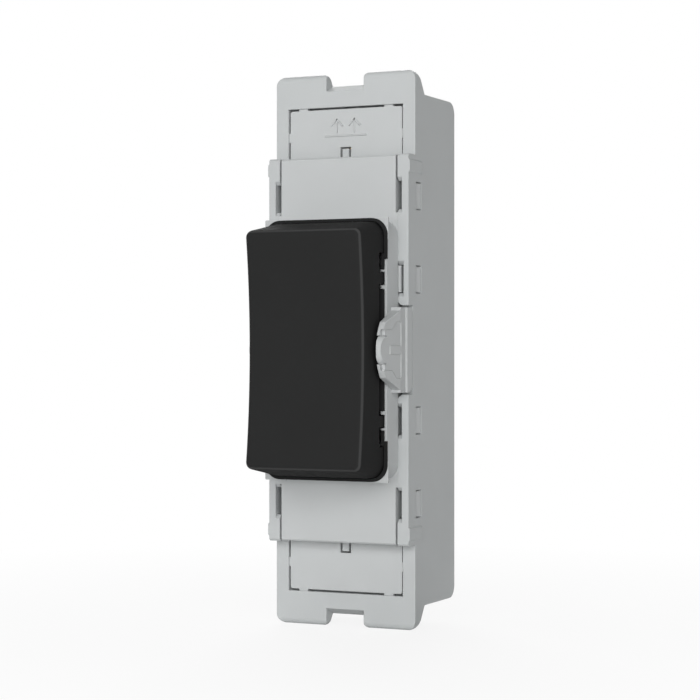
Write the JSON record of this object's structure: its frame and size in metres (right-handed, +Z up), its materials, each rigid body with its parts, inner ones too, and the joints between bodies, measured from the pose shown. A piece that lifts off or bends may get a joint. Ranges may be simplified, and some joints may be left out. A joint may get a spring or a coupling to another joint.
{
  "type": "grid switch module",
  "caption": "Slim light-grey switch module with a dished black rocker on side pivot ears, snap ears at both ends and screw terminals behind.",
  "frame": {"origin": "the middle of the module, on the front face of its flange, which rests behind the grid frame", "axes": "+X to the right, +Z up towards the end with the single terminal, and the rocker faces -Y"},
  "size_m": [0.0186, 0.0239, 0.066],
  "materials": {
    "body_plastic": "fine satin moulding, light grey",
    "cover_plastic": "fine satin moulding, light grey",
    "black_plastic": "satin black",
    "rocker_plastic": "satin black with a soft sheen",
    "guide_plastic": "off-white, smooth",
    "spring_steel": "drawn wire",
    "contact_metal": "rolled strip",
    "rivet_metal": "silver-grey, polished",
    "brass_strip": "rolled strip",
    "brass_block": "machined",
    "screw_steel": "plated"
  },
  "bodies": {
    "body": {"housing": "body_plastic", "front_cover": "cover_plastic", "top_end_cover": "cover_plastic", "bottom_end_cover": "cover_plastic", "collar": "black_plastic", "upper_fixed_contact": "rivet_metal", "lower_fixed_contact": "rivet_metal", "common_bar": "brass_strip", "upper_contact_bar": "brass_strip", "lower_contact_bar": "brass_strip", "common_terminal_block": "brass_block", "upper_terminal_block": "brass_block", "lower_terminal_block": "brass_block", "terminal_screws": "screw_steel"},
    "rocker": {"rocker": "rocker_plastic", "plunger": "guide_plastic", "plunger_spring": "spring_steel"},
    "contact_arm": {"rocking_contact": "contact_metal", "upper_moving_contact": "rivet_metal", "lower_moving_contact": "rivet_metal"}
  },
  "joints": [
    {"name": "rocker_tilt", "type": "hinge", "parent": "body", "child": "rocker", "pos_m": [0, -0.005, 0], "axis": [1, 0, 0], "range_deg": [-5, 5]},
    {"name": "contact_rock", "type": "hinge", "parent": "body", "child": "contact_arm", "pos_m": [0, 0.0022, 0], "axis": [1, 0, 0], "range_deg": [-8, 8]}
  ],
  "couplings": [
    {"joint": "contact_rock", "follows": "rocker_tilt", "ratio": -1.6}
  ]
}
